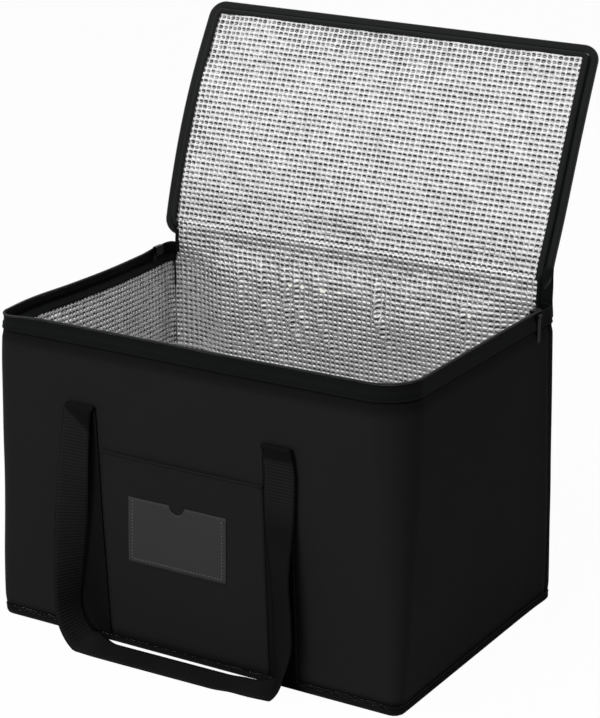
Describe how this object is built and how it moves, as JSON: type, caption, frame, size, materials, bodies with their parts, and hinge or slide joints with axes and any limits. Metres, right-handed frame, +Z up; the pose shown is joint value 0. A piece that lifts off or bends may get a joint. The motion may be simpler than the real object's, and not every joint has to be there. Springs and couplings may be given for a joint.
{
  "type": "insulated cooler bag",
  "caption": "Soft insulated box bag with a foil lining, a zipped lid that swings open, two webbing handles and a front pocket with a card window.",
  "frame": {"origin": "centre of the flat underside that the bag stands on", "axes": "+Z up, +X to the right seen from the front, +Y to the back, where the lid's hinge is"},
  "size_m": [0.5108, 0.5051, 0.6414],
  "materials": {
    "outer_fabric": "smooth black woven fabric with a dull sheen",
    "trim_fabric": "black tape and piping",
    "webbing": "ribbed black webbing",
    "foil": "silver foil film pressed in a small waffle pattern, bonded to cloth",
    "foam": "closed-cell white foam board",
    "board": "plain grey plastic board",
    "window": "clear film, dark because black cloth lies behind it",
    "zip_coil": "black nylon coil",
    "zip_metal": "black lacquered metal"
  },
  "bodies": {
    "bag": {"outer_wrap": "outer_fabric", "outer_back_panel": "outer_fabric", "outer_base_panel": "outer_fabric", "base_piping": "trim_fabric", "rim_piping": "trim_fabric", "foam_front": "foam", "foam_back": "foam", "foam_left": "foam", "foam_right": "foam", "foam_base": "foam", "base_stiffener": "board", "lining_front": "foil", "lining_back": "foil", "lining_left": "foil", "lining_right": "foil", "lining_base": "foil", "body_zip_tape": "trim_fabric", "body_zip_coil": "zip_coil", "rim_facing": "trim_fabric", "zip_end_tab_left": "trim_fabric", "zip_end_tab_right": "trim_fabric", "back_hinge_strip": "trim_fabric", "front_handle_strap_left": "webbing", "front_handle_strap_right": "webbing", "back_handle_strap_left": "webbing", "back_handle_strap_right": "webbing", "front_pocket": "outer_fabric", "card_window": "window"},
    "lid": {"lid_hinge_strip": "trim_fabric", "lid_outer_panel": "outer_fabric", "lid_foam": "foam", "lid_lining": "foil", "lid_binding": "trim_fabric", "lid_zip_tape": "trim_fabric", "lid_zip_coil": "zip_coil"},
    "front_handle": {"front_handle_loop": "webbing"},
    "back_handle": {"back_handle_loop": "webbing"},
    "slider_left": {"zip_slider_left": "zip_metal"},
    "slider_right": {"zip_slider_right": "zip_metal"},
    "pull_left": {"zip_pull_left": "zip_metal"},
    "pull_right": {"zip_pull_right": "zip_metal"}
  },
  "joints": [
    {"name": "lid_hinge", "type": "hinge", "parent": "bag", "child": "lid", "pos_m": [0, 0.15713, 0.3625], "axis": [1, 0, 0], "range_deg": [-116, 113]},
    {"name": "front_handle_swing", "type": "hinge", "parent": "bag", "child": "front_handle", "pos_m": [0, -0.16905, 0.269], "axis": [-1, 0, 0], "range_deg": [0, 165]},
    {"name": "back_handle_swing", "type": "hinge", "parent": "bag", "child": "back_handle", "pos_m": [0, 0.1683, 0.269], "axis": [1, 0, 0], "range_deg": [0, 150]},
    {"name": "slider_left_slide", "type": "slide", "parent": "bag", "child": "slider_left", "axis": [0, -1, 0], "range_m": [0, 0.262]},
    {"name": "slider_right_slide", "type": "slide", "parent": "bag", "child": "slider_right", "axis": [0, -1, 0], "range_m": [0, 0.262]},
    {"name": "pull_left_swing", "type": "hinge", "parent": "slider_left", "child": "pull_left", "pos_m": [-0.25325, 0.13205, 0.35], "axis": [0, 1, 0], "range_deg": [0, 150]},
    {"name": "pull_right_swing", "type": "hinge", "parent": "slider_right", "child": "pull_right", "pos_m": [0.25325, 0.13205, 0.35], "axis": [0, -1, 0], "range_deg": [0, 150]}
  ]
}
